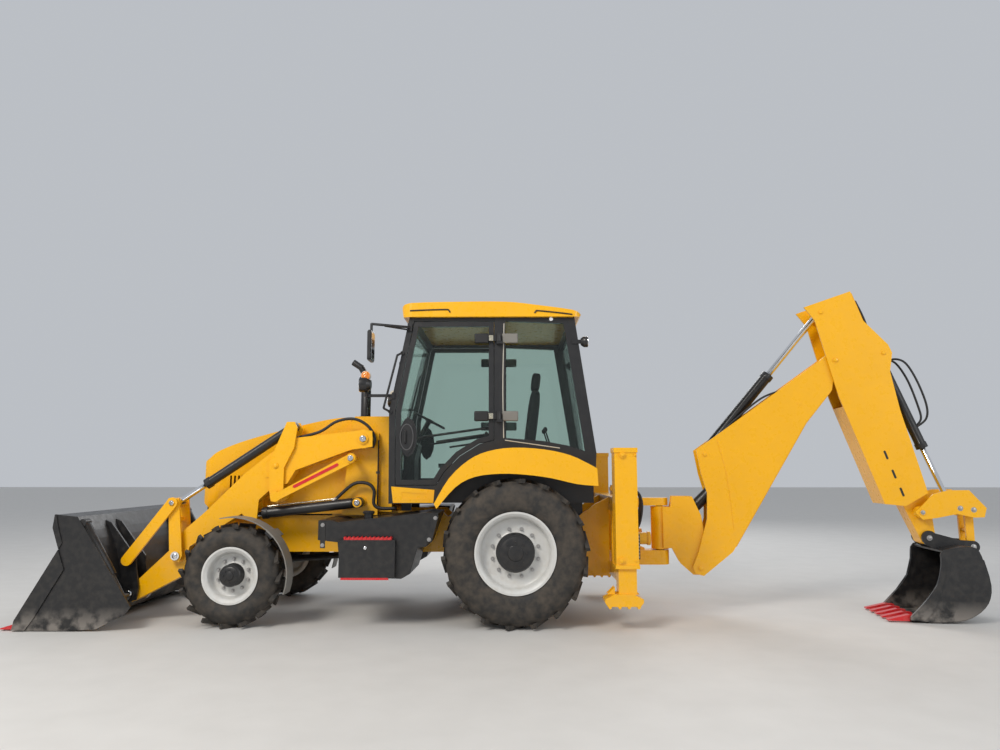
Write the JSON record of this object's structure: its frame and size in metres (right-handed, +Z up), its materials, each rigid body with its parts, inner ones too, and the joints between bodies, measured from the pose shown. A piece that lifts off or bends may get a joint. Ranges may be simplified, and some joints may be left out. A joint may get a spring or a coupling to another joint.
{
  "type": "backhoe loader",
  "caption": "Backhoe loader: loader bucket on linked arms in front, glazed cab amidships and a swinging boom, dipper and bucket at the rear.",
  "frame": {"origin": "middle of the whole part on the ground, under the tyres", "axes": "+X runs from the loader bucket to the backhoe, +Y is the right-hand side seen from the driver facing the loader, +Z is up"},
  "size_m": [9.5286, 2.368, 3.3585],
  "materials": {
    "yellow_paint": "gloss",
    "black_paint": "satin",
    "tyre_rubber": "matte",
    "white_paint": "satin",
    "red_paint": "satin",
    "chrome_rod": "polished",
    "cab_glass": "clear",
    "seat_fabric": "matte",
    "cast_grey": "matte",
    "pin_steel": "satin"
  },
  "bodies": {
    "chassis": {"chassis_frame": "yellow_paint", "rear_frame": "yellow_paint", "engine_block": "cast_grey", "axles": "black_paint", "side_tanks": "black_paint", "step_treads": "red_paint", "grille": "black_paint", "cab_frame": "black_paint", "cab_roof": "yellow_paint", "rear_fenders": "yellow_paint", "cab_glass": "cab_glass", "cab_interior": "seat_fabric", "exhaust_stack": "black_paint", "mirrors_lamps": "black_paint"},
    "hood": {"hood": "yellow_paint"},
    "door_left": {"door_left": "black_paint", "door_glass_left": "cab_glass"},
    "door_right": {"door_right": "black_paint", "door_glass_right": "cab_glass"},
    "knuckle_left": {"knuckle_left": "black_paint"},
    "knuckle_right": {"knuckle_right": "black_paint"},
    "wheel_front_left": {"tyre_front_left": "tyre_rubber", "rim_front_left": "white_paint"},
    "wheel_front_right": {"tyre_front_right": "tyre_rubber", "rim_front_right": "white_paint"},
    "wheel_rear_left": {"tyre_rear_left": "tyre_rubber", "rim_rear_left": "white_paint"},
    "wheel_rear_right": {"tyre_rear_right": "tyre_rubber", "rim_rear_right": "white_paint"},
    "arms": {"loader_arms": "yellow_paint"},
    "loader_bucket": {"loader_bucket": "black_paint", "loader_teeth": "red_paint"},
    "hoe_bucket": {"hoe_bucket": "black_paint", "hoe_teeth": "red_paint"},
    "lift_barrels": {"lift_barrels": "black_paint"},
    "lift_rods": {"lift_rods": "chrome_rod"},
    "rear_levers": {"rear_levers": "yellow_paint"},
    "leveling_links": {"leveling_links": "yellow_paint"},
    "lever_pins": {"lever_pins": "pin_steel"},
    "front_levers": {"front_levers": "yellow_paint"},
    "tilt_barrels": {"tilt_barrels": "black_paint"},
    "tilt_rods": {"tilt_rods": "chrome_rod"},
    "bucket_links": {"bucket_links": "yellow_paint"},
    "bucket_pins": {"bucket_pins": "pin_steel"},
    "carriage": {"carriage": "yellow_paint"},
    "kingpost": {"kingpost": "yellow_paint"},
    "boom": {"boom": "yellow_paint"},
    "boom_barrel": {"boom_barrel": "black_paint"},
    "boom_rod": {"boom_rod": "chrome_rod"},
    "dipper": {"dipper": "yellow_paint"},
    "dipper_barrel": {"dipper_barrel": "black_paint"},
    "dipper_rod": {"dipper_rod": "chrome_rod"},
    "hoe_crank": {"hoe_crank": "yellow_paint"},
    "hoe_link": {"hoe_link": "yellow_paint"},
    "bucket_barrel": {"bucket_barrel": "black_paint"},
    "bucket_rod": {"bucket_rod": "chrome_rod"},
    "leg_left": {"leg_left": "yellow_paint"},
    "leg_right": {"leg_right": "yellow_paint"}
  },
  "joints": [
    {"name": "wheel_rear_left_spin", "type": "hinge", "parent": "chassis", "child": "wheel_rear_left", "pos_m": [0.012, -0.905, 0.7], "axis": [0, 1, 0], "continuous": true},
    {"name": "wheel_rear_right_spin", "type": "hinge", "parent": "chassis", "child": "wheel_rear_right", "pos_m": [0.012, 0.905, 0.7], "axis": [0, 1, 0], "continuous": true},
    {"name": "steer_left", "type": "hinge", "parent": "chassis", "child": "knuckle_left", "pos_m": [-2.685, -0.8, 0.485], "axis": [0, 0, 1], "range_deg": [-30, 30]},
    {"name": "steer_right", "type": "hinge", "parent": "chassis", "child": "knuckle_right", "pos_m": [-2.685, 0.8, 0.485], "axis": [0, 0, 1], "range_deg": [-30.5, 30.5]},
    {"name": "wheel_front_left_spin", "type": "hinge", "parent": "knuckle_left", "child": "wheel_front_left", "pos_m": [-2.685, -0.9125, 0.485], "axis": [0, 1, 0], "continuous": true},
    {"name": "wheel_front_right_spin", "type": "hinge", "parent": "knuckle_right", "child": "wheel_front_right", "pos_m": [-2.685, 0.9125, 0.485], "axis": [0, 1, 0], "continuous": true},
    {"name": "door_left_open", "type": "hinge", "parent": "chassis", "child": "door_left", "pos_m": [-0.148, -0.89, 2], "axis": [0, 0, 1], "range_deg": [0, 78]},
    {"name": "door_right_open", "type": "hinge", "parent": "chassis", "child": "door_right", "pos_m": [-0.148, 0.89, 2], "axis": [0, 0, -1], "range_deg": [0, 78]},
    {"name": "hood_lift", "type": "hinge", "parent": "chassis", "child": "hood", "pos_m": [-1.71, 0, 1.99], "axis": [0, -1, 0], "range_deg": [-48, 0]},
    {"name": "loader_lift", "type": "hinge", "parent": "chassis", "child": "arms", "pos_m": [-1.517, 0, 1.788], "axis": [0, 1, 0], "range_deg": [0, 70]},
    {"name": "lift_barrels_turn", "type": "hinge", "parent": "chassis", "child": "lift_barrels", "pos_m": [-1.564, 0, 1.153], "axis": [0, 1, 0], "range_deg": [-0.5, 61.15]},
    {"name": "lift_rods_slide", "type": "slide", "parent": "lift_barrels", "child": "lift_rods", "axis": [-0.9937, 0, -0.1123], "range_m": [-0.002, 0.7044]},
    {"name": "leveling_links_turn", "type": "hinge", "parent": "chassis", "child": "leveling_links", "pos_m": [-1.619, 0, 1.593], "axis": [0, 1, 0], "range_deg": [-0.5, 77.03]},
    {"name": "rear_levers_turn", "type": "hinge", "parent": "arms", "child": "rear_levers", "pos_m": [-2.381, 0, 1.52], "axis": [0, 1, 0], "range_deg": [-45.42, 0.5]},
    {"name": "lever_pins_turn", "type": "hinge", "parent": "arms", "child": "lever_pins", "pos_m": [-3.327, 0, 0.64], "axis": [0, 1, 0], "range_deg": [-30.73, 0.5]},
    {"name": "bucket_pins_turn", "type": "hinge", "parent": "arms", "child": "bucket_pins", "pos_m": [-3.778, 0, 0.275], "axis": [0, 1, 0], "range_deg": [-47.14, 0.5]},
    {"name": "tilt_barrels_turn", "type": "hinge", "parent": "rear_levers", "child": "tilt_barrels", "pos_m": [-2.245, 0, 1.912], "axis": [0, 1, 0], "range_deg": [-0.5, 40.99]},
    {"name": "loader_tilt", "type": "hinge", "parent": "bucket_pins", "child": "loader_bucket", "pos_m": [-3.778, 0, 0.275], "axis": [0, 1, 0], "range_deg": [-60, 42]},
    {"name": "front_levers_turn", "type": "hinge", "parent": "lever_pins", "child": "front_levers", "pos_m": [-3.327, 0, 0.64], "axis": [0, 1, 0], "range_deg": [-30.1, 21.22]},
    {"name": "bucket_links_turn", "type": "hinge", "parent": "front_levers", "child": "bucket_links", "pos_m": [-3.375, 0, 1.156], "axis": [0, 1, 0], "range_deg": [-24.66, 35.01]},
    {"name": "tilt_rods_slide", "type": "slide", "parent": "tilt_barrels", "child": "tilt_rods", "axis": [-0.8311, 0, -0.5561], "range_m": [-0.1776, 0.2528]},
    {"name": "sideshift", "type": "slide", "parent": "chassis", "child": "carriage", "axis": [0, 1, 0], "range_m": [-0.5, 0.5]},
    {"name": "backhoe_swing", "type": "hinge", "parent": "carriage", "child": "kingpost", "pos_m": [1.577, 0, 0.85], "axis": [0, 0, 1], "range_deg": [-82, 97]},
    {"name": "boom_lift", "type": "hinge", "parent": "kingpost", "child": "boom", "pos_m": [1.97853, -0.05286, 0.458], "axis": [-0.1305, -0.9914, 0], "range_deg": [-95, 18]},
    {"name": "boom_barrel_turn", "type": "hinge", "parent": "kingpost", "child": "boom_barrel", "pos_m": [1.88732, -0.04086, 1.025], "axis": [-0.1305, -0.9914, 0], "range_deg": [-94.38, 18.29]},
    {"name": "boom_rod_slide", "type": "slide", "parent": "boom_barrel", "child": "boom_rod", "axis": [0.705, -0.0928, 0.7031], "range_m": [-0.1528, 0.798]},
    {"name": "dipper_reach", "type": "hinge", "parent": "boom", "child": "dipper", "pos_m": [3.41117, -0.24147, 2.627], "axis": [-0.1305, -0.9914, 0], "range_deg": [-18, 92]},
    {"name": "dipper_barrel_turn", "type": "hinge", "parent": "boom", "child": "dipper_barrel", "pos_m": [2.05686, -0.06317, 1.641], "axis": [-0.1305, -0.9914, 0], "range_deg": [-0.53, 0.64]},
    {"name": "dipper_rod_slide", "type": "slide", "parent": "dipper_barrel", "child": "dipper_rod", "axis": [0.6338, -0.0834, 0.769], "range_m": [-0.734, 0.1452]},
    {"name": "hoe_curl", "type": "hinge", "parent": "dipper", "child": "hoe_bucket", "pos_m": [4.21821, -0.34772, 0.795], "axis": [-0.1305, -0.9914, 0], "range_deg": [-90, 70]},
    {"name": "hoe_crank_turn", "type": "hinge", "parent": "dipper", "child": "hoe_crank", "pos_m": [4.14484, -0.33806, 1.053], "axis": [-0.1305, -0.9914, 0], "range_deg": [-71.15, 55.45]},
    {"name": "hoe_link_turn", "type": "hinge", "parent": "hoe_crank", "child": "hoe_link", "pos_m": [4.62074, -0.40071, 1.082], "axis": [-0.1305, -0.9914, 0], "range_deg": [-28.5, 36.5]},
    {"name": "bucket_barrel_turn", "type": "hinge", "parent": "dipper", "child": "bucket_barrel", "pos_m": [3.88707, -0.30413, 2.69], "axis": [-0.1305, -0.9914, 0], "range_deg": [-5.1, 4.08]},
    {"name": "bucket_rod_slide", "type": "slide", "parent": "bucket_barrel", "child": "bucket_rod", "axis": [0.3569, -0.047, -0.933], "range_m": [-0.2799, 0.3593]},
    {"name": "stabilizer_left_drop", "type": "slide", "parent": "chassis", "child": "leg_left", "axis": [0, 0, -1], "range_m": [0, 0.45]},
    {"name": "stabilizer_right_drop", "type": "slide", "parent": "chassis", "child": "leg_right", "axis": [0, 0, -1], "range_m": [0, 0.45]}
  ],
  "couplings": [
    {"joint": "steer_right", "follows": "steer_left", "ratio": 1},
    {"joint": "lift_barrels_turn", "follows": "loader_lift", "ratio": 0.86642},
    {"joint": "lift_rods_slide", "follows": "loader_lift", "m_per_rad": 0.57492},
    {"joint": "leveling_links_turn", "follows": "loader_lift", "ratio": 1.0933},
    {"joint": "rear_levers_turn", "follows": "loader_lift", "ratio": -0.64172},
    {"joint": "lever_pins_turn", "follows": "loader_lift", "ratio": -0.43191},
    {"joint": "bucket_pins_turn", "follows": "loader_lift", "ratio": -0.66635},
    {"joint": "tilt_barrels_turn", "follows": "loader_lift", "ratio": 0.57849},
    {"joint": "front_levers_turn", "follows": "loader_tilt", "ratio": 0.49338},
    {"joint": "bucket_links_turn", "follows": "loader_tilt", "ratio": -0.57519},
    {"joint": "tilt_rods_slide", "follows": "loader_tilt", "m_per_rad": -0.23954},
    {"joint": "boom_barrel_turn", "follows": "boom_lift", "ratio": 0.98821},
    {"joint": "boom_rod_slide", "follows": "boom_lift", "m_per_rad": -0.48007},
    {"joint": "dipper_barrel_turn", "follows": "dipper_reach", "ratio": 0.00147},
    {"joint": "dipper_rod_slide", "follows": "dipper_reach", "m_per_rad": -0.45588},
    {"joint": "hoe_crank_turn", "follows": "hoe_curl", "ratio": 0.785},
    {"joint": "hoe_link_turn", "follows": "hoe_curl", "ratio": -0.4},
    {"joint": "bucket_barrel_turn", "follows": "hoe_curl", "ratio": 0.05112},
    {"joint": "bucket_rod_slide", "follows": "hoe_curl", "m_per_rad": -0.22743}
  ]
}
